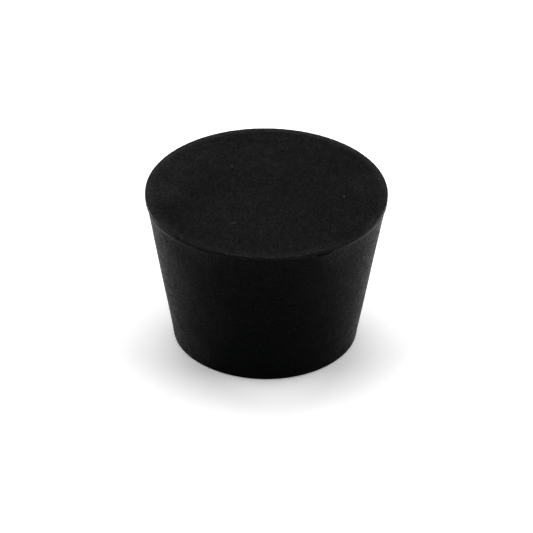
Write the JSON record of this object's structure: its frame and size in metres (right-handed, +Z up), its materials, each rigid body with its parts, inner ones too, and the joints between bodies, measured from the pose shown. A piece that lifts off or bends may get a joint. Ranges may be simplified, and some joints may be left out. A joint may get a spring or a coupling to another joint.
{
  "type": "solid rubber stopper",
  "caption": "Solid tapered rubber stopper with flat ends and a trimmed flash land around the wide rim, for closing the neck of a flask, bottle or tube.",
  "frame": {"origin": "centre of the narrow flat base, on the surface that the stopper stands on", "axes": "+Z up the axis of the taper from the narrow base to the wide top face; -Y faces the viewer, so the torn nick at the rim is towards -Y and a little to +X"},
  "size_m": [0.037, 0.037, 0.025],
  "materials": {
    "black_rubber": "matt moulded black rubber with a faint grey bloom"
  },
  "bodies": {
    "root": {"stopper": "black_rubber"}
  },
  "joints": []
}
